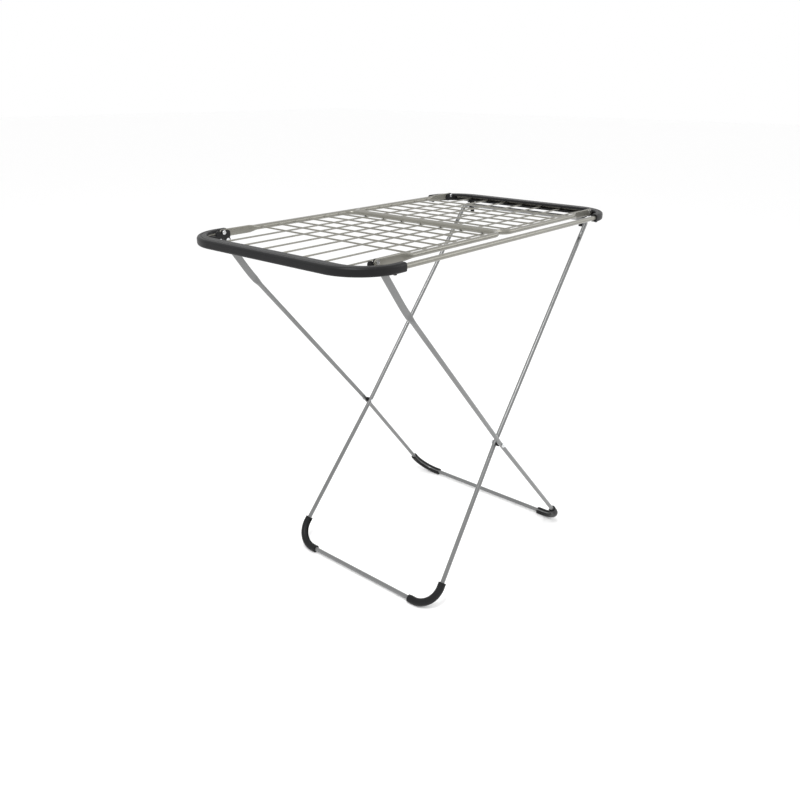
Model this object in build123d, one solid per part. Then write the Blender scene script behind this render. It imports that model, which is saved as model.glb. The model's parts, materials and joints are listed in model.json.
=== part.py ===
from build123d import *
import os

# Folding clothes drying rack: a tube table with seven lines, two wings that fold in over it, and
# two crossed leg frames under it.  Millimetres, +Z up, +X to the right end of the table, -Y to
# the front.  The origin is on the floor under the middle of the table.

# ---- driving dimensions -------------------------------------------------------------------------
TUBE_R = 6.0                # outer radius of every tube
TUBE_WALL = 1.0
BORE_R = TUBE_R - TUBE_WALL
WIRE_R = 2.0                # hanging lines
FLAT_THICK = 3.0            # a tube end pressed flat
PRESS_RUN = 30.0            # length of the change from flat to round

FRAME_X = 514.0             # table frame tube: centre line of its ends, sides and height
FRAME_Y = 284.0
FRAME_Z = 950.0
FRAME_BEND = 98.0
RAIL_HALF = 412.5           # the side rails meet the end bows here, inside the covers
PLUG_LENGTH = 30.0
PLUG_PAST = 3.0             # how far a joint plug reaches into the end bow
LINE_COUNT = 7
LINE_PITCH = 64.0
LINE_Z = 948.4

COVER_X = 526.0             # end covers: outer and inner outline, top and bottom
COVER_Y = 293.0
COVER_BEND = 110.0
COVER_IN_X = 493.0
COVER_IN_Y = 275.0
COVER_IN_BEND = 75.0
COVER_LOW = 940.0
COVER_TOP = 960.0
COVER_ARM_X = {"left": 397.0, "right": 409.0}
COVER_LIP_Z = 944.3         # underside of the cover at its inner edge
SLOT_LOW = 946.2
SLOT_TOP = 953.5
CREASE = 6.5                # fillet of the top outer edge
RIM = 3.5                   # fillet of the top inner edge
GROOVE_INSET = 9.0          # groove along the top, from the outer edge
GROOVE_WIDTH = 1.6
GROOVE_DEPTH = 1.0
BELLY = 5.0                 # fillet of the bottom outer edge
SCREW_X = 423.0             # screws under the covers' arms, beyond the joint plugs
SCREW_Y = 283.5
SCREW_R = 1.5
SCREW_HEAD_R = 4.0

WING_Y = 248.0              # wing rails
WING_Z = 956.8
WING_BEND = 28.0
WING_LENGTH = 438.6         # hinge axis to the centre line of the cross rail
WING_FLAT_Y = 245.1
WING_FLAT_RUN = 76.0
WING_LINE_COUNT = 6
WING_LINE_FIRST = 119.0
WING_LINE_PITCH = 54.0
WING_LINE_Z = 957.0
HINGE_X = {"left": -433.0, "right": 457.0}
HINGE_Z = 958.8
STRIP_R = 9.0               # half width of a pressed end

PIN_R = 3.0
BOSS_R = 5.5
PIN_GAP = 0.05              # radial play of a piece that turns on a pin
PLATE_IN = 238.9            # hinge bracket plate, from its inner to its outer face
PLATE_OUT = 243.1
BOSS_OUT = 248.7            # and the boss that holds the leg clear of the wing
HUMP_REACH = {"left": (16.0, 11.0), "right": (5.0, 14.0)}

PIVOT_X = -424.0            # pivot of the outer legs
PIVOT_Z = 940.0
KINK_X = -352.9             # bend in the outer legs' pressed ends
KINK_Z = 843.0
CROSS_X = 60.7              # where the two leg frames cross
CROSS_Z = 380.2
FOOT_Z = 10.0
OUTER_FOOT_X = 388.7
OUTER_Y = 250.0
OUTER_FLAT_Y = 250.6
OUTER_FOOT_Y = 281.7
INNER_FOOT_X = -238.5
INNER_TOP_X = 504.3
INNER_TOP_Z = 927.8
INNER_TOP_Y = 216.0
INNER_CROSS_Y = 230.6
INNER_FOOT_Y = 257.8
LEG_BEND = 60.0
TOP_BEND = 16.0
BOW_STUB = 62.0             # straight legs of the inner frame's top bow

FOOT_R = 10.7
FOOT_LEG_RUN = 12.0         # how far a foot passes the bend, up the leg and along the floor
FOOT_FLOOR_RUN = 16.0
FOOT_SLOT = 7.0             # width of the slot inside the bend

HOOK_Y = 193.0
HOOK_WIDTH = 12.0
HOOK_GAP = 0.5
HOOK_TAIL_Z = 904.0

ENDS = {"left": -1, "right": 1}
SIDES = {"front": -1, "back": 1}
nodes = {}


# ---- helpers ------------------------------------------------------------------------------------
def rod(path, radius=TUBE_R):
    return sweep(Plane(origin=path @ 0, z_dir=path % 0) * Circle(radius), path=path)


def tube(path):
    return rod(path) - rod(path, BORE_R)


def pin(x, y_start, y_end, z, radius):
    """A round bar parallel to Y."""
    return Pos(x, (y_start + y_end) / 2, z) * Rot(90, 0, 0) * Cylinder(radius, abs(y_end - y_start))


def block(x_range, y_range, z_range):
    """A box from three ranges."""
    spans = (x_range, y_range, z_range)
    middle = [(low + high) / 2 for low, high in spans]
    return Pos(*middle) * Box(*[abs(high - low) for low, high in spans])


def slab(x, y, bend, z_low, z_high):
    """A rounded rectangle plate from its half sizes."""
    return Pos(0, 0, z_low) * extrude(RectangleRounded(2 * x, 2 * y, bend), z_high - z_low)


def bar_plate(start, end, radius, y_low, y_high):
    """A flat bar with round ends between two (x, z) points, standing in the XZ plane."""
    edge = Vector(end[0] - start[0], end[1] - start[1], 0).normalized() * radius
    side = Vector(-edge.Y, edge.X, 0)
    outline = [(point[0] + sign * side.X, point[1] + sign * side.Y)
               for point, sign in ((start, 1), (end, 1), (end, -1), (start, -1))]
    standing = Plane(origin=(0, y_high, 0), x_dir=(1, 0, 0), z_dir=(0, -1, 0))
    body = extrude(standing * Polygon(*outline, align=None), y_high - y_low, dir=(0, -1, 0))
    for x, z in (start, end):
        body += pin(x, y_low, y_high, z, radius)
    return body


def press(flat_at, round_at, run):
    """The change from a pressed end to the round tube, both square to the direction `run`."""
    wide = Vector(0, 1, 0).cross(run)
    flat = Plane(origin=flat_at, x_dir=wide, z_dir=run) * Ellipse(STRIP_R, FLAT_THICK / 2)
    full = Plane(origin=round_at, x_dir=wide, z_dir=run) * Circle(TUBE_R)
    return loft([flat, full])


def back_of(point):
    return Vector(point.X, -point.Y, point.Z)


def through(points, bends):
    """A path through front points, then through the same points at the back in reverse."""
    corners = points + [back_of(point) for point in reversed(points)]
    return FilletPolyline(*corners, radius=bends + bends[::-1])


def flipped(shape):
    """The shape's mirror image at the other side of the rack."""
    return mirror(shape, about=Plane.XZ)


def both_sides(shape):
    return Compound([*shape.solids(), *flipped(shape).solids()])


# ---- table frame and lines ----------------------------------------------------------------------
def make_end_bow(end):
    corners = [(end * RAIL_HALF, -FRAME_Y, FRAME_Z), (end * FRAME_X, -FRAME_Y, FRAME_Z),
               (end * FRAME_X, FRAME_Y, FRAME_Z), (end * RAIL_HALF, FRAME_Y, FRAME_Z)]
    return FilletPolyline(*corners, radius=FRAME_BEND)


bow_paths = {end: make_end_bow(side) for end, side in ENDS.items()}
for end, path in bow_paths.items():
    nodes[f"{end}_end_bow"] = tube(path)
for side, sign in SIDES.items():
    rail = Line((-RAIL_HALF, sign * FRAME_Y, FRAME_Z), (RAIL_HALF, sign * FRAME_Y, FRAME_Z))
    nodes[f"{side}_side_rail"] = tube(rail)
plugs = []
for end in ENDS.values():
    for side in SIDES.values():
        near = (end * (RAIL_HALF + PLUG_PAST - PLUG_LENGTH), side * FRAME_Y, FRAME_Z)
        far = (end * (RAIL_HALF + PLUG_PAST), side * FRAME_Y, FRAME_Z)
        plugs.append(rod(Line(near, far), BORE_R))
nodes["frame_joint_plugs"] = Compound([plug.solids()[0] for plug in plugs])
for number in range(LINE_COUNT):
    y = (number - (LINE_COUNT - 1) / 2) * LINE_PITCH
    line = Pos(0, y, LINE_Z) * Rot(0, 90, 0) * Cylinder(WIRE_R, 2 * (FRAME_X - BORE_R))
    nodes[f"line_wire_{number + 1}"] = line
    for end in ENDS:
        nodes[f"{end}_end_bow"] -= line


# ---- end covers ---------------------------------------------------------------------------------
def make_cover_ring():
    """Both covers as one ring: a shell over the tube, slotted along its inner side."""
    body = slab(COVER_X, COVER_Y, COVER_BEND, COVER_LOW, COVER_TOP)
    body = fillet(body.faces().sort_by(Axis.Z)[-1].edges(), CREASE)
    body = fillet(body.faces().sort_by(Axis.Z)[0].edges(), BELLY)
    body -= slab(COVER_IN_X, COVER_IN_Y, COVER_IN_BEND, COVER_LOW, COVER_TOP)
    body = fillet(body.faces().sort_by(Axis.Z)[-1].inner_wires()[0].edges(), RIM)
    inset = GROOVE_INSET + GROOVE_WIDTH
    groove = slab(COVER_X - GROOVE_INSET, COVER_Y - GROOVE_INSET, COVER_BEND - GROOVE_INSET,
                  COVER_TOP - GROOVE_DEPTH, COVER_TOP)
    body -= groove - slab(COVER_X - inset, COVER_Y - inset, COVER_BEND - inset,
                          COVER_TOP - GROOVE_DEPTH, COVER_TOP)
    reach = FRAME_X - COVER_IN_X - TUBE_R
    body -= slab(COVER_IN_X + reach / 2, COVER_IN_Y + 2, COVER_IN_BEND + 5, COVER_LOW, COVER_LIP_Z)
    body -= slab(FRAME_X, FRAME_Y, FRAME_BEND, SLOT_LOW, SLOT_TOP)
    return body


def make_cover_screw(x, y):
    """Screw up through a cover's floor, with its head below."""
    head = Pos(x, y, COVER_LOW - 1.5) * Cylinder(SCREW_HEAD_R, 3)
    head = fillet(head.faces().sort_by(Axis.Z)[0].edges(), 1.4)
    tip = FRAME_Z - TUBE_R + 0.4
    return head + Pos(x, y, (COVER_LOW + tip) / 2) * Cylinder(SCREW_R, tip - COVER_LOW)


cover_ring = make_cover_ring()
for path in bow_paths.values():
    cover_ring -= rod(path)
for side in SIDES.values():
    cover_ring -= rod(Line((-RAIL_HALF, side * FRAME_Y, FRAME_Z), (RAIL_HALF, side * FRAME_Y, FRAME_Z)))
for end, sign in ENDS.items():
    reach = (sign * COVER_ARM_X[end], sign * (COVER_X + 1))
    half = block(reach, (-COVER_Y - 1, COVER_Y + 1), (COVER_LOW - 1, COVER_TOP + 1))
    nodes[f"{end}_end_cover"] = cover_ring & half
screws = []
for end, sign in ENDS.items():
    for side in SIDES.values():
        screw = make_cover_screw(sign * SCREW_X, side * SCREW_Y)
        screws.append(screw.solids()[0])
        nodes[f"{end}_end_cover"] -= screw
        nodes[f"{end}_end_bow"] -= screw
nodes["cover_screws"] = Compound(screws)


# ---- hinge brackets and their rivets ------------------------------------------------------------
def make_bracket(end):
    """Front bracket: a two-humped plate, and a tongue that sits in the cover's slot."""
    x = HINGE_X[end]
    sign = ENDS[end]
    faces = (-PLATE_OUT, -PLATE_IN)
    humps = (x + sign * HUMP_REACH[end][0], x - sign * HUMP_REACH[end][1])
    plate = bar_plate((humps[0], 951.0), (humps[1], 951.0), 6.0, *faces)
    for hump in humps:
        plate += bar_plate((hump, 957.0), (hump, 950.0), 6.5, *faces)
    plate += bar_plate((x, HINGE_Z), (x, 952.0), 6.5, *faces)
    if end == "left":
        plate += bar_plate((PIVOT_X, PIVOT_Z), (PIVOT_X - 5, 950.0), 8.5, *faces)
        plate += pin(PIVOT_X, -BOSS_OUT, -PLATE_OUT, PIVOT_Z, BOSS_R)
        plate -= pin(PIVOT_X, -BOSS_OUT, -PLATE_IN, PIVOT_Z, PIN_R)
    plate -= pin(x, *faces, HINGE_Z, PIN_R)
    reach = sorted((humps[0], sign * FRAME_X))
    tongue = block(reach, faces, (SLOT_LOW + 0.2, SLOT_TOP - 0.2)) - rod(bow_paths[end])
    return plate + tongue.solids().sort_by(Axis.X)[0 if sign > 0 else -1]


def make_hinge_pin(x):
    """Rivet of a wing hinge: a domed head inside the plate, and a flat one outside the wing."""
    head = pin(x, -PLATE_IN, -PLATE_IN + 1.8, HINGE_Z, 5.0)
    head = fillet(head.faces().sort_by(Axis.Y)[-1].edges(), 1.2)
    outside = -WING_FLAT_Y - FLAT_THICK / 2 - 0.3
    return head + pin(x, outside, -PLATE_IN, HINGE_Z, PIN_R) + pin(x, outside - 1.5, outside, HINGE_Z, 4.5)


def make_pivot_pin():
    """Bolt of an outer leg: its head is inside the plate, its end outside the leg."""
    head = pin(PIVOT_X, -PLATE_IN, -PLATE_IN + 1.8, PIVOT_Z, 5.0)
    return head + pin(PIVOT_X, -OUTER_FLAT_Y - 6.5, -PLATE_IN, PIVOT_Z, PIN_R)


def make_nut(x, y_near, z):
    """A domed nut on a bolt that points to the front; y_near is its bearing face."""
    body = pin(x, y_near - 4.5, y_near, z, 5.5)
    body = fillet(body.faces().sort_by(Axis.Y)[0].edges(), 2.0)
    return body - pin(x, y_near - 4.5, y_near, z, PIN_R)


for end in ENDS:
    bracket = make_bracket(end)
    nodes[f"hinge_bracket_front_{end}"] = bracket
    nodes[f"hinge_bracket_back_{end}"] = flipped(bracket)
hinge_pins = [both_sides(make_hinge_pin(x)) for x in HINGE_X.values()]
nodes["wing_hinge_pins"] = Compound([solid for pair in hinge_pins for solid in pair.solids()])
nodes["leg_pivot_bolts"] = both_sides(make_pivot_pin())
nut_seat = -OUTER_FLAT_Y - FLAT_THICK / 2 - 0.3
nodes["leg_pivot_nuts"] = both_sides(make_nut(PIVOT_X, nut_seat, PIVOT_Z))


# ---- hooks under the right end ------------------------------------------------------------------
def make_hook():
    """A hook that hangs under the right cover, open to the left for the inner frame's top rail."""
    seat = TUBE_R + HOOK_GAP
    outside = seat + 4.0
    faces = (-HOOK_Y - HOOK_WIDTH / 2, -HOOK_Y + HOOK_WIDTH / 2)
    body = pin(INNER_TOP_X, *faces, INNER_TOP_Z, outside)
    body += block((INNER_TOP_X - 12, INNER_TOP_X + outside), faces, (COVER_LOW - 2.8, COVER_LOW))
    body += block((INNER_TOP_X + seat, INNER_TOP_X + outside), faces, (HOOK_TAIL_Z, COVER_LOW))
    body -= pin(INNER_TOP_X, *faces, INNER_TOP_Z, seat)
    way_out = (INNER_TOP_Z - seat, COVER_LOW - 2.8)
    body -= block((INNER_TOP_X - 30, INNER_TOP_X), faces, way_out)
    return body


hook = make_hook()
nodes["leg_hook_front"] = hook
nodes["leg_hook_back"] = flipped(hook)


# ---- wings --------------------------------------------------------------------------------------
def make_wing(end):
    """One tube bent to a U, its two ends pressed flat and drilled for the hinge rivets."""
    hinge_x = HINGE_X[end]
    inward = -ENDS[end]
    flat_x = hinge_x + inward * WING_FLAT_RUN
    round_x = flat_x + inward * PRESS_RUN
    cross_x = hinge_x + inward * WING_LENGTH
    corners = [Vector(round_x, -WING_Y, WING_Z), Vector(cross_x, -WING_Y, WING_Z)]
    body = tube(through(corners, [WING_BEND]))
    faces = (-WING_FLAT_Y - FLAT_THICK / 2, -WING_FLAT_Y + FLAT_THICK / 2)
    strip = bar_plate((hinge_x, WING_Z), (flat_x, WING_Z), STRIP_R, *faces)
    strip -= block((flat_x, flat_x + inward * 20), (-WING_Y, -WING_Y + 20), (WING_Z - 12, WING_Z + 12))
    flat_at = Vector(flat_x, -WING_FLAT_Y, WING_Z)
    strip += press(flat_at, Vector(round_x, -WING_Y, WING_Z), Vector(inward, 0, 0))
    strip -= pin(hinge_x, *faces, HINGE_Z, PIN_R + PIN_GAP)
    return body + strip + flipped(strip)


for end, sign in ENDS.items():
    wing = make_wing(end)
    for number in range(WING_LINE_COUNT):
        x = HINGE_X[end] - sign * (WING_LINE_FIRST + WING_LINE_PITCH * number)
        half = WING_Y - BORE_R
        line = pin(x, -half, half, WING_LINE_Z, WIRE_R)
        nodes[f"{end}_wing_wire_{number + 1}"] = line
        wing -= line
    nodes[f"{end}_wing_frame"] = wing


# ---- leg frames ---------------------------------------------------------------------------------
kink = Vector(KINK_X, -OUTER_FLAT_Y, KINK_Z)
outer_cross = Vector(CROSS_X, -OUTER_Y, CROSS_Z)
outer_foot = Vector(OUTER_FOOT_X, -OUTER_FOOT_Y, FOOT_Z)
leg_run = (outer_cross - kink).normalized()
flat_stop = kink + leg_run * 14
round_start = kink + leg_run * (14 + PRESS_RUN)
outer_path = through([round_start, outer_cross, outer_foot], [300, LEG_BEND])
leg_faces = (-OUTER_FLAT_Y - FLAT_THICK / 2, -OUTER_FLAT_Y + FLAT_THICK / 2)
leg_end = bar_plate((PIVOT_X, PIVOT_Z), (KINK_X, KINK_Z), STRIP_R, *leg_faces)
leg_end += bar_plate((KINK_X, KINK_Z), (flat_stop.X, flat_stop.Z), STRIP_R, *leg_faces)
behind_stop = Plane(origin=flat_stop, z_dir=leg_run) * Pos(0, 0, 10) * Box(40, 40, 20)
leg_end -= behind_stop
leg_end += press(flat_stop, round_start, leg_run)
leg_end -= pin(PIVOT_X, *leg_faces, PIVOT_Z, PIN_R + PIN_GAP)
outer_legs = tube(outer_path) + leg_end + flipped(leg_end)

inner_top = Vector(INNER_TOP_X, -INNER_TOP_Y, INNER_TOP_Z)
inner_cross = Vector(CROSS_X, -INNER_CROSS_Y, CROSS_Z)
inner_foot = Vector(INNER_FOOT_X, -INNER_FOOT_Y, FOOT_Z)
top_run = (inner_cross - inner_top).normalized()
bow_end = inner_top + top_run * BOW_STUB
inner_legs = tube(through([bow_end, inner_cross, inner_foot], [300, LEG_BEND]))
nodes["inner_top_bow"] = tube(through([bow_end, inner_top], [TOP_BEND]))
plug_half = top_run * (PLUG_LENGTH / 2)
nodes["top_bow_plugs"] = both_sides(rod(Line(bow_end - plug_half, bow_end + plug_half), BORE_R))

bolt_faces = (-OUTER_Y - TUBE_R - 6.0, -INNER_CROSS_Y + TUBE_R + 0.3)
bolt = pin(CROSS_X, *bolt_faces, CROSS_Z, PIN_R)
bolt += pin(CROSS_X, bolt_faces[1], bolt_faces[1] + 2.0, CROSS_Z, 5.0)
nodes["cross_bolts"] = both_sides(bolt)
spacer_faces = (-OUTER_Y + TUBE_R + 0.3, -INNER_CROSS_Y - TUBE_R - 0.3)
spacer = pin(CROSS_X, *spacer_faces, CROSS_Z, 7.0) - pin(CROSS_X, *spacer_faces, CROSS_Z, PIN_R)
nodes["cross_spacers"] = both_sides(spacer)
nut = make_nut(CROSS_X, -OUTER_Y - TUBE_R - 0.6, CROSS_Z)
nodes["cross_nuts"] = both_sides(nut)
for sign in SIDES.values():
    outer_span = (sign * (OUTER_Y - 8), sign * (OUTER_Y + 8))
    inner_span = (sign * (INNER_CROSS_Y - 8), sign * (INNER_CROSS_Y + 8))
    outer_legs -= pin(CROSS_X, *outer_span, CROSS_Z, PIN_R + PIN_GAP)
    inner_legs -= pin(CROSS_X, *inner_span, CROSS_Z, PIN_R)
nodes["outer_leg_frame"] = outer_legs
nodes["inner_leg_frame"] = inner_legs


# ---- feet ---------------------------------------------------------------------------------------
def make_foot(cross, foot):
    """A sleeve round a leg frame's lower bend, slotted along the inside of the bend."""
    up = (cross - foot).normalized()
    along = Vector(0, 1, 0)
    corner_run = LEG_BEND * (1 + up.dot(along)) / (1 - up.dot(along) ** 2) ** 0.5
    start = foot + up * (corner_run + FOOT_LEG_RUN)
    path = FilletPolyline(start, foot, foot + along * (corner_run + FOOT_FLOOR_RUN), radius=LEG_BEND)
    inside = (along - up * up.dot(along)).normalized()
    section = Circle(FOOT_R) - Circle(TUBE_R) - Pos(FOOT_R / 2, 0) * Rectangle(FOOT_R, FOOT_SLOT)
    sleeve = sweep(Plane(origin=start, x_dir=inside, z_dir=-up) * section, path=path)
    return sleeve - block((foot.X - 30, foot.X + 30), (-300, 0), (-5, 0))


for name, cross, foot in (("outer", outer_cross, outer_foot), ("inner", inner_cross, inner_foot)):
    sleeve = make_foot(cross, foot)
    nodes[f"{name}_foot_front"] = sleeve
    nodes[f"{name}_foot_back"] = flipped(sleeve)


# ---- write every node ---------------------------------------------------------------------------
os.makedirs("parts", exist_ok=True)
for name, shape in nodes.items():
    solids = shape.solids()
    export_step(solids[0] if len(solids) == 1 else Compound(solids), f"parts/{name}.step")
    bounds = shape.bounding_box()
    print(f"{name:26s} solids {len(solids)}  volume {shape.volume:10.1f}  "
          f"low {tuple(round(v, 1) for v in bounds.min)}  high {tuple(round(v, 1) for v in bounds.max)}")
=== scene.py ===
# %% [markdown]
# # A folding clothes drying rack
# The real thing is bent steel tube, drawn wire and moulded black plastic.  The imported model gives
# every piece its place in metres, and this lesson gives the pieces their shape close up and their
# finish.  The frame is loaded first.

# %% Load the frame
import bpy
import json
import math
import mathutils
import numpy as np
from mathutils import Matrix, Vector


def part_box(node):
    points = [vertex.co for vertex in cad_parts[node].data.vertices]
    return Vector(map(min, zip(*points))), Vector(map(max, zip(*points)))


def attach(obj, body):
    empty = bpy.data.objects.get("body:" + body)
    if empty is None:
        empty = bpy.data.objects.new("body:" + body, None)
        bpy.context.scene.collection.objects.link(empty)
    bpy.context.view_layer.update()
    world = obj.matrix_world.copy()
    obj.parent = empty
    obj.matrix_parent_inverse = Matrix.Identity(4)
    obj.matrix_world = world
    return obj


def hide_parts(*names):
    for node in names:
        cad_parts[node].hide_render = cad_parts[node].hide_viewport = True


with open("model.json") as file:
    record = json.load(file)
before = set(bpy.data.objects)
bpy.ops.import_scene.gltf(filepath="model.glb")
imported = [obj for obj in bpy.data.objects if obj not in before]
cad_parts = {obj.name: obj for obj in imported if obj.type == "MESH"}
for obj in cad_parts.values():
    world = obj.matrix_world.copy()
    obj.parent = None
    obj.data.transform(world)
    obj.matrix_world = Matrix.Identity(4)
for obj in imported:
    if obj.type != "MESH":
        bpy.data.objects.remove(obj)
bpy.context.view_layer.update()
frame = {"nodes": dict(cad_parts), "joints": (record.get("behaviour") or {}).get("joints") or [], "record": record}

nodes = sorted(frame["nodes"])

# %% [markdown]
# ## Writing shader maths as plain expressions
# A material is a graph of small sums.  This class wraps one socket, so that `1 - mask * 0.3` adds the
# Math nodes itself, and its `node` method makes any other node from a type, settings and inputs.


# %% A socket that can be added and multiplied
class Value:
    def __init__(self, tree, socket):
        self.tree, self.socket = tree, socket

    def math(self, operation, first, second):
        node = self.tree.nodes.new("ShaderNodeMath")
        node.operation = operation
        for place, item in enumerate((first, second)):
            if isinstance(item, Value):
                self.tree.links.new(item.socket, node.inputs[place])
            else:
                node.inputs[place].default_value = item
        return Value(self.tree, node.outputs[0])

    def __add__(self, other):
        return self.math("ADD", self, other)

    def __radd__(self, other):
        return self.math("ADD", other, self)

    def __sub__(self, other):
        return self.math("SUBTRACT", self, other)

    def __rsub__(self, other):
        return self.math("SUBTRACT", other, self)

    def __mul__(self, other):
        return self.math("MULTIPLY", self, other)

    def __rmul__(self, other):
        return self.math("MULTIPLY", other, self)


class Finish:
    """One material: `node` adds a node and returns its chosen output, `shade` sets the shader."""

    def __init__(self, name):
        self.material = bpy.data.materials.new(name)
        self.material.use_nodes = True
        self.tree = self.material.node_tree
        self.shader = self.tree.nodes["Principled BSDF"]

    def node(self, kind, settings=None, inputs=None, output=0):
        made = self.tree.nodes.new(kind)
        stops = (settings or {}).pop("stops", None)
        for key, setting in (settings or {}).items():
            setattr(made, key, setting)
        if stops:
            ramp = made.color_ramp
            while len(ramp.elements) < len(stops):
                ramp.elements.new(0.5)
            for element, (place, grey) in zip(ramp.elements, stops):
                element.position = place
                element.color = (grey, grey, grey, 1)
        for key, item in (inputs or {}).items():
            if isinstance(item, Value):
                self.tree.links.new(item.socket, made.inputs[key])
            else:
                made.inputs[key].default_value = item
        return Value(self.tree, made.outputs[output])

    def mix(self, factor, first, second):
        return self.node("ShaderNodeMix", {"data_type": "RGBA"}, {0: factor, 6: first, 7: second}, 2)

    def shade(self, **inputs):
        for key, item in inputs.items():
            socket = self.shader.inputs[key.replace("_", " ")]
            if isinstance(item, Value):
                self.tree.links.new(item.socket, socket)
            else:
                socket.default_value = item
        return self.material


# %% [markdown]
# ## Paint on tube
# The table is painted a warm grey with fine metal flake, and the legs a cooler, glossier silver.
# Powder paint has three scales of detail: a slow drift of tone along a tube, the orange peel that
# breaks up a reflection, and flakes too small to see one by one.  Handling leaves faint rubbed
# patches, which are a little smoother.


# %% The two paints
object_place = 3  # the Texture Coordinate output that holds Object coordinates


def tube_paint(name, dark, light, roughness, peel, metal):
    """Metal-flake paint: tone is a mix by slow noise, roughness and bump come from finer noise."""
    finish = Finish(name)
    place = finish.node("ShaderNodeTexCoord", output=object_place)
    drift = finish.node("ShaderNodeTexNoise", None, {"Vector": place, "Scale": 9.0, "Detail": 3.0})
    flake = finish.node("ShaderNodeTexNoise", None, {"Vector": place, "Scale": 2600.0, "Detail": 1.0})
    skin = finish.node("ShaderNodeTexNoise", None, {"Vector": place, "Scale": 420.0, "Detail": 2.0})
    rub = finish.node("ShaderNodeTexNoise", None, {"Vector": place, "Scale": 38.0, "Detail": 5.0})
    worn = finish.node("ShaderNodeValToRGB", {"stops": [(0.56, 0.0), (0.72, 1.0)]}, {"Fac": rub})
    tone = drift * 0.7 + flake * 0.3
    colour = finish.mix(tone, (*dark, 1), (*light, 1))
    height = skin * 0.7 + flake * 0.3
    bump = finish.node("ShaderNodeBump", None, {"Height": height, "Strength": peel, "Distance": 0.0002})
    rough = roughness + flake * 0.10 - worn * 0.05
    return finish.shade(Base_Color=colour, Roughness=rough, Metallic=metal, Normal=bump,
                        Coat_Weight=0.35, Coat_Roughness=0.16)


table_paint = tube_paint("warm_grey_paint", (0.15, 0.146, 0.125), (0.235, 0.228, 0.198), 0.32, 0.10, 0.60)
leg_paint = tube_paint("silver_leg_paint", (0.135, 0.137, 0.137), (0.215, 0.217, 0.216), 0.26, 0.07, 0.66)
print("paints", table_paint.name, leg_paint.name)

# %% [markdown]
# ## Black plastic and bright steel
# The covers, brackets, hooks and feet are moulded in one black plastic.  Its mould was spark eroded,
# so the skin is a fine pebble, and corners that get handled are polished.  Rivets and nuts are
# zinc plated: bright, a little blue, with a mottled crystal skin.


# %% Plastic and zinc
def moulded_black():
    """Near-black polymer: a pebble of small cells for bump, slow noise for tone and gloss."""
    finish = Finish("moulded_black_plastic")
    place = finish.node("ShaderNodeTexCoord", output=object_place)
    pebble = finish.node("ShaderNodeTexVoronoi", None, {"Vector": place, "Scale": 950.0})
    cloud = finish.node("ShaderNodeTexNoise", None, {"Vector": place, "Scale": 22.0, "Detail": 4.0})
    dust = finish.node("ShaderNodeTexNoise", None, {"Vector": place, "Scale": 310.0, "Detail": 3.0})
    specks = finish.node("ShaderNodeValToRGB", {"stops": [(0.62, 0.0), (0.78, 1.0)]}, {"Fac": dust})
    colour = finish.mix(cloud, (0.006, 0.006, 0.0065, 1), (0.013, 0.013, 0.0135, 1))
    dusty = finish.mix(specks * 0.10, colour, (0.06, 0.059, 0.057, 1))
    bump = finish.node("ShaderNodeBump", None,
                       {"Height": pebble * 0.8 + dust * 0.2, "Strength": 0.28, "Distance": 0.0002})
    rough = 0.34 + cloud * 0.14 + specks * 0.06
    return finish.shade(Base_Color=dusty, Roughness=rough, Normal=bump, Specular_IOR_Level=0.16)


def bright_zinc():
    """Zinc plate: mottled cells tint the metal and change its gloss."""
    finish = Finish("bright_zinc")
    place = finish.node("ShaderNodeTexCoord", output=object_place)
    crystal = finish.node("ShaderNodeTexVoronoi", None, {"Vector": place, "Scale": 700.0})
    brush = finish.node("ShaderNodeTexNoise", None, {"Vector": place, "Scale": 900.0, "Detail": 4.0})
    colour = finish.mix(crystal, (0.62, 0.64, 0.67, 1), (0.80, 0.80, 0.79, 1))
    bump = finish.node("ShaderNodeBump", None, {"Height": brush, "Strength": 0.15, "Distance": 0.0001})
    return finish.shade(Base_Color=colour, Roughness=0.18 + brush * 0.16, Metallic=1.0, Normal=bump)


black_plastic = moulded_black()
zinc = bright_zinc()
print("plastic", black_plastic.name, "metal", zinc.name)

# %% [markdown]
# ## Giving the carried-over pieces their finish
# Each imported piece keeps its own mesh.  Its material slot in the record says what it is made of, so
# one table from slot to finish dresses them all.

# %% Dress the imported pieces
finishes = {"table_paint": table_paint, "leg_paint": leg_paint, "black_plastic": black_plastic,
            "zinc_steel": zinc}
slot_of = {row["node"]: row["material_slot"] for row in frame["record"]["subparts"]}
for name in nodes:
    piece = bpy.data.objects[name]
    for place in piece.material_slots:
        place.material = finishes[slot_of[name]]
print("dressed", len(nodes))

# %% [markdown]
# ## Sweeping a tube
# A bent tube is a circle carried along a line.  The line is straight runs joined by arcs.  At each
# point of it the circle stands square to the line, and a steady side direction keeps it from
# twisting.  The circle may be squeezed into a flat oval, which is how the tube ends are pressed.


# %% Lines with rounded corners, and the swept surface
def rounded_line(corners, radii, step=0.004):
    """Points along straight runs joined by arcs.  Each arc is centre + radius times the turned normal."""
    corners = [np.array(corner, float) for corner in corners]
    points = [corners[0][None, :]]
    for before, corner, after, radius in zip(corners, corners[1:], corners[2:], radii):
        back = (before - corner) / np.linalg.norm(before - corner)
        ahead = (after - corner) / np.linalg.norm(after - corner)
        half = math.acos(np.clip(back @ ahead, -1, 1)) / 2
        middle = (back + ahead) / np.linalg.norm(back + ahead)
        centre = corner + middle * radius / math.sin(half)
        start = corner + back * radius / math.tan(half)
        swing = math.pi - 2 * half
        count = max(3, int(radius * swing / step))
        angle = np.linspace(0, swing, count)[:, None]
        points.append(centre + (start - centre) * np.cos(angle) - back * radius * np.sin(angle))
    points.append(corners[-1][None, :])
    return np.concatenate(points)


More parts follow.
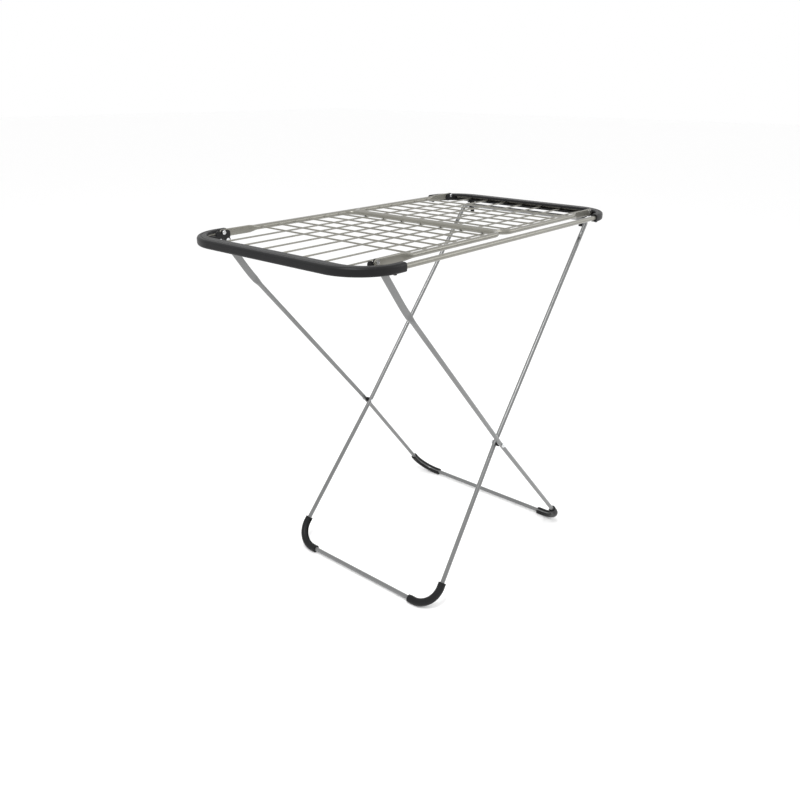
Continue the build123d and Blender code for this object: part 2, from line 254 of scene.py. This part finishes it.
def fill_runs(points, longest=0.02):
    """Adds points on long straight runs, so that a pattern or a squeeze can change along them."""
    lengths = np.linalg.norm(np.diff(points, axis=0), axis=1)
    counts = np.maximum(1, np.ceil(lengths / longest).astype(int))
    parts = [np.linspace(a, b, n, endpoint=False) for a, b, n in zip(points, points[1:], counts)]
    return np.concatenate(parts + [points[-1:]])


def add_mesh(name, points, faces):
    mesh = bpy.data.meshes.new(name)
    mesh.from_pydata(points.tolist(), [], faces)
    mesh.polygons.foreach_set("use_smooth", np.ones(len(mesh.polygons), bool))
    mesh.update()
    piece = bpy.data.objects.new(name, mesh)
    bpy.context.scene.collection.objects.link(piece)
    return piece


round_section, boxy_section = 2.0, 6.0


def swept(name, points, wide, high, side, sides=28, square=round_section):
    """Surface P(s, a) = line(s) + wide(s)*c(a)*across(s) + high(s)*d(a)*out(s), with closed ends.

    c and d are cosine and sine raised to 2 / squareness, sign kept: 2 is an ellipse, more is boxy.
    `side` is the direction that `out` leans towards; `across` is square to it and to the line."""
    count = len(points)
    ahead = np.gradient(points, axis=0)
    ahead /= np.linalg.norm(ahead, axis=1, keepdims=True)
    side = np.broadcast_to(np.asarray(side, float), points.shape)
    across = np.cross(side, ahead)
    across /= np.linalg.norm(across, axis=1, keepdims=True)
    out = np.cross(ahead, across)
    angle = np.linspace(0, 2 * np.pi, sides, endpoint=False)
    wide = np.broadcast_to(wide, (count,))[:, None, None]
    high = np.broadcast_to(high, (count,))[:, None, None]
    power = (round_section / np.broadcast_to(square, (count,)))[:, None, None]
    turn = np.stack([np.cos(angle), np.sin(angle)])[:, None, :, None]
    c, d = np.sign(turn) * np.abs(turn) ** power
    ring = points[:, None, :] + wide * c * across[:, None, :] + high * d * out[:, None, :]
    index = np.arange(count * sides).reshape(count, sides)
    after = np.roll(index, -1, axis=1)
    walls = np.stack([index[:-1], after[:-1], after[1:], index[1:]], axis=-1).reshape(-1, 4)
    ends = [index[0, ::-1].tolist(), index[-1].tolist()]
    return add_mesh(name, ring.reshape(-1, 3), walls.tolist() + ends)


print("sweep helpers ready")

# %% [markdown]
# ## Pressed ends, bent frames
# Each wing is one tube bent to a U, and so is each leg frame.  Where a rivet goes through, the tube
# is pressed flat: it grows wider one way as it thins the other, and its tip is cut round about the
# rivet.  A section that runs smoothly from a boxy flat to a circle shows the press marks that a
# plain joint of strip and tube would miss.


# %% A frame tube with pressed ends
def eased(value):
    value = np.clip(value, 0, 1)
    return value * value * (3 - 2 * value)


tube_radius = 0.006
tab_wide, tab_thin = 0.009, 0.0015  # half sizes of a pressed end
press_run = 0.030                   # length over which a tube goes from flat to round
fine_step, leg_step = 0.002, 0.005  # spacing of points round the bends and down the outer legs


def pressed_section(points, flat_run):
    """Half sizes and squareness along a line whose two ends are pressed flat.

    s is the distance from the nearer end.  Width eases from tab_wide to the radius and thickness from
    tab_thin to the radius after flat_run.  The tip is a half circle about the rivet, tab_wide in from
    the end: width = sqrt(tab_wide^2 - (tab_wide - s)^2)."""
    lengths = np.linalg.norm(np.diff(points, axis=0), axis=1)
    travel = np.concatenate([[0], np.cumsum(lengths)])
    s = np.minimum(travel, travel[-1] - travel)
    grow = eased((s - flat_run) / press_run)
    across = tab_wide + (tube_radius - tab_wide) * grow
    tip = np.sqrt(np.clip(tab_wide ** 2 - np.clip(tab_wide - s, 0, None) ** 2, 1e-9, None))
    narrowest = 0.0004
    across = np.where(s < tab_wide, np.maximum(tip, narrowest), across)
    squareness = boxy_section + (round_section - boxy_section) * grow
    return across, tab_thin + (tube_radius - tab_thin) * grow, squareness


def tip_points(start, direction, length):
    """Points closer together towards the very end, for the round tip: length times 1 - cos."""
    angle = np.linspace(0, np.pi / 2, 9)[:, None]
    return start + direction * length * (1 - np.cos(angle))


def dress(piece, body, finish, *stands_for):
    piece.data.materials.append(finishes[finish])
    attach(piece, body)
    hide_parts(*stands_for)
    return piece


def mirrored_line(points):
    """The line, then its mirror image at the back in reverse."""
    return np.concatenate([points, points[::-1] * np.array([1, -1, 1])])


joints = {joint["name"]: joint for joint in frame["joints"]}
wing_flat_run, wing_bend = 0.085, 0.028
tab_step_out = 0.0029  # the pressed tab lies this much nearer the middle than the tube it grows into
for end, sign in (("left", -1), ("right", 1)):
    low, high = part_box(f"{end}_wing_frame")
    hinge = joints[f"{end}_wing_hinge"]["pos_m"][0]
    rail_y, level = high.y - tube_radius, (low.z + high.z) / 2
    cross_x = high.x - tube_radius if sign < 0 else low.x + tube_radius
    tip = np.array([hinge + sign * tab_wide, -rail_y + tab_step_out, level])
    inward = np.array([-sign, 0.0, 0.0])
    run = np.linspace(tab_wide, 0.125, 40)
    start_part = tip + inward * run[:, None]
    start_part[:, 1] -= tab_step_out * eased((run - wing_flat_run) / press_run)
    corners = [start_part[-1], (cross_x, -rail_y, level), (cross_x, 0, level)]
    bend = rounded_line(corners, [wing_bend], fine_step)
    half = np.concatenate([tip_points(tip, inward, tab_wide)[:-1], start_part[:-1], fill_runs(bend)[:-1]])
    line = mirrored_line(half)
    tall, thick, square = pressed_section(line, wing_flat_run)
    wing = swept(f"{end}_wing_tube", line, thick, tall, (0, 0, 1), square=square)
    dress(wing, f"{end}_wing", "table_paint", f"{end}_wing_frame")
    print(wing.name, "points", len(wing.data.vertices))

# %% [markdown]
# ## The leg frames
# The outer legs turn on bolts under the left end, through pressed ends that are set a little steeper
# than the leg.  They splay below the cross bolt.  The inner legs rise from their own floor rail to a
# separate top bow that rests in the two hooks.

# %% Outer legs
pivot = np.array(joints["leg_fold"]["pos_m"])
cross = np.array(joints["leg_close"]["pos_m"])
low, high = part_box("outer_leg_frame")
pin_y, crossing_y = -0.2506, -0.250
kink_along, kink_down = 0.0711, 0.097           # from the pin to the small bend below the pressed end
kink_bend, crossing_bend, foot_bend = 0.5, 0.3, 0.060
corner_in = 0.002                               # from the frame's side to its sharp lower corner
bend_at = np.array([pivot[0] + kink_along, pin_y, pivot[2] - kink_down])
crossing = np.array([cross[0], crossing_y, cross[2]])
foot = np.array([high.x - tube_radius, low.y + corner_in, low.z + tube_radius])
pin_at = np.array([pivot[0], pin_y, pivot[2]])
down = (bend_at - pin_at) / np.linalg.norm(bend_at - pin_at)
tip = pin_at - down * tab_wide
corners = [pin_at, bend_at, crossing, foot, foot * np.array([1, 0, 1])]
upper = rounded_line(corners, [kink_bend, crossing_bend, foot_bend], fine_step)
half = np.concatenate([tip_points(tip, down, tab_wide)[:-1], fill_runs(upper, leg_step)[:-1]])
line = mirrored_line(half)
flat_past_kink = 0.014
leg_flat = float(np.linalg.norm(bend_at - pin_at)) + tab_wide + flat_past_kink
tall, thick, square = pressed_section(line, leg_flat)
leg_way = (foot - bend_at) / np.linalg.norm(foot - bend_at)
leg_plane = np.cross(leg_way, (0, 1, 0))
outer_legs = swept("outer_leg_tube", line, thick, tall, leg_plane, square=square)
dress(outer_legs, "outer_legs", "leg_paint", "outer_leg_frame")

# %% Inner legs and their top bow
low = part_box("inner_leg_frame")[0]
bow_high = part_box("inner_top_bow")[1]
top_y, crossing_y, corner_in = -0.216, -0.2306, 0.0025
bow_bend, bow_arm, seam_gap = 0.016, 0.062, 0.0004
top = np.array([bow_high.x - tube_radius, top_y, bow_high.z - tube_radius])
crossing = np.array([cross[0], crossing_y, cross[2]])
foot = np.array([low.x + tube_radius, low.y + corner_in, low.z + tube_radius])
leg_way = (crossing - top) / np.linalg.norm(crossing - top)
seam = top + leg_way * bow_arm
corners = [seam + leg_way * seam_gap, crossing, foot, foot * np.array([1, 0, 1])]
lower = rounded_line(corners, [crossing_bend, foot_bend], fine_step)
inner_plane = np.cross((foot - top) / np.linalg.norm(foot - top), (0, 1, 0))
line = mirrored_line(fill_runs(lower)[:-1])
inner_legs = swept("inner_leg_tube", line, tube_radius, tube_radius, inner_plane)
dress(inner_legs, "inner_legs", "leg_paint", "inner_leg_frame")
upper = rounded_line([seam, top, top * np.array([1, 0, 1])], [bow_bend], fine_step)
line = mirrored_line(fill_runs(upper)[:-1])
top_bow = swept("inner_top_bow_tube", line, tube_radius, tube_radius, inner_plane)
dress(top_bow, "inner_legs", "leg_paint", "inner_top_bow")
print("inner legs", len(inner_legs.data.vertices), "bow", len(top_bow.data.vertices))

# %% [markdown]
# ## Rails and hanging lines
# The side rails are plain tube.  Each line is drawn wire, welded at both ends, and the weld leaves a
# small collar: the radius grows as exp(-distance / 1.6 mm) towards the end.


# %% Straight tubes and lines
wire_radius, weld_collar, collar_fade = 0.002, 0.0016, 0.0016
line_short = 0.0012  # each end of a crosswise line stops this much short of its packed wire


def straight(name, start, end, radius, collar=0.0, sides=20):
    """A round bar from start to end whose radius is radius + collar * exp(-d / collar_fade)."""
    start, end = np.asarray(start, float), np.asarray(end, float)
    length = np.linalg.norm(end - start)
    near = np.array([0, 0.0006, 0.0013, 0.0022, 0.0035, 0.0055, 0.009])
    middle = np.linspace(0.02, length - 0.02, max(3, int(length / 0.03)))
    s = np.concatenate([near, middle, length - near[::-1]])
    grown = radius + collar * np.exp(-np.minimum(s, length - s) / collar_fade)
    points = start + (end - start) * (s / length)[:, None]
    return swept(name, points, grown, grown, (0, 0, 1), sides=sides)


for side in ("front", "back"):
    low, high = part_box(f"{side}_side_rail")
    middle_y, middle_z = (low.y + high.y) / 2, (low.z + high.z) / 2
    start, end = (low.x, middle_y, middle_z), (high.x, middle_y, middle_z)
    rail = straight(f"{side}_rail_tube", start, end, tube_radius, sides=28)
    dress(rail, "table", "table_paint", f"{side}_side_rail")
for name in nodes:
    if "_wire_" not in name:
        continue
    low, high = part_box(name)
    middle = (low + high) / 2
    reach = (high - low) / 2
    along_x = reach.x > reach.y
    step = np.array([reach.x, 0, 0]) if along_x else np.array([0, reach.y - line_short, 0])
    body = "table" if name.startswith("line") else name.split("_wire_")[0]
    start, end = np.array(middle) - step, np.array(middle) + step
    line = straight(f"{name}_rod", start, end, wire_radius, weld_collar)
    dress(line, body, "table_paint", name)
print("lines done")

# %% [markdown]
# ## Floor, light and camera
# The rack stands on a plain pale floor that meets a pale surround.  A soft light hangs above and to
# the left, a broader and weaker one fills from the right, and the surround does the rest, so the
# tubes get one long bright line each.

# %% Set the stage
floor_reach = 30.0
floor_corners = [(-floor_reach, -floor_reach, 0), (floor_reach, -floor_reach, 0),
                 (floor_reach, floor_reach, 0), (-floor_reach, floor_reach, 0)]
floor = add_mesh("floor", np.array(floor_corners), [(0, 1, 2, 3)])
pale = Finish("pale_floor")
place = pale.node("ShaderNodeTexCoord", output=object_place)
grain = pale.node("ShaderNodeTexNoise", None, {"Vector": place, "Scale": 60.0})
floor_tone = pale.mix(grain, (0.975, 0.975, 0.975, 1), (0.995, 0.995, 0.995, 1))
floor.data.materials.append(pale.shade(Base_Color=floor_tone, Roughness=0.85))

world = bpy.data.worlds.new("pale_surround")
world.use_nodes = True
world.node_tree.nodes["Background"].inputs["Color"].default_value = (1, 1, 1, 1)
world.node_tree.nodes["Background"].inputs["Strength"].default_value = 1.0
bpy.context.scene.world = world


def soft_light(name, place, target, size, power):
    """A square area light that faces a point."""
    lamp = bpy.data.lights.new(name, "AREA")
    lamp.size, lamp.energy = size, power
    lamp_object = bpy.data.objects.new(name, lamp)
    aim = mathutils.Vector(target) - mathutils.Vector(place)
    lamp_object.location = place
    lamp_object.rotation_euler = aim.to_track_quat("-Z", "Y").to_euler()
    bpy.context.scene.collection.objects.link(lamp_object)


soft_light("high_left_light", (-1.6, -0.6, 3.2), (0, 0, 0.6), 1.0, 60)
soft_light("right_fill_light", (2.6, -2.4, 2.2), (0, 0, 0.6), 2.0, 30)

camera = bpy.data.cameras.new("view")
camera.lens, camera.sensor_width = 34.4, 36.0
camera.clip_end = 100
camera_object = bpy.data.objects.new("view", camera)
bearing, dip, roll = math.radians(49.8), math.radians(22.5), math.radians(0.4)
level_part = math.cos(dip)
forward = mathutils.Vector((math.sin(bearing) * level_part, math.cos(bearing) * level_part, -math.sin(dip)))
turn = forward.to_track_quat("-Z", "Y") @ mathutils.Quaternion((0, 0, 1), roll)
camera_object.location = (-1.549, -1.250, 1.286)
camera_object.rotation_euler = turn.to_euler()
bpy.context.scene.collection.objects.link(camera_object)
bpy.context.scene.camera = camera_object
bpy.context.scene.view_settings.view_transform = "Standard"
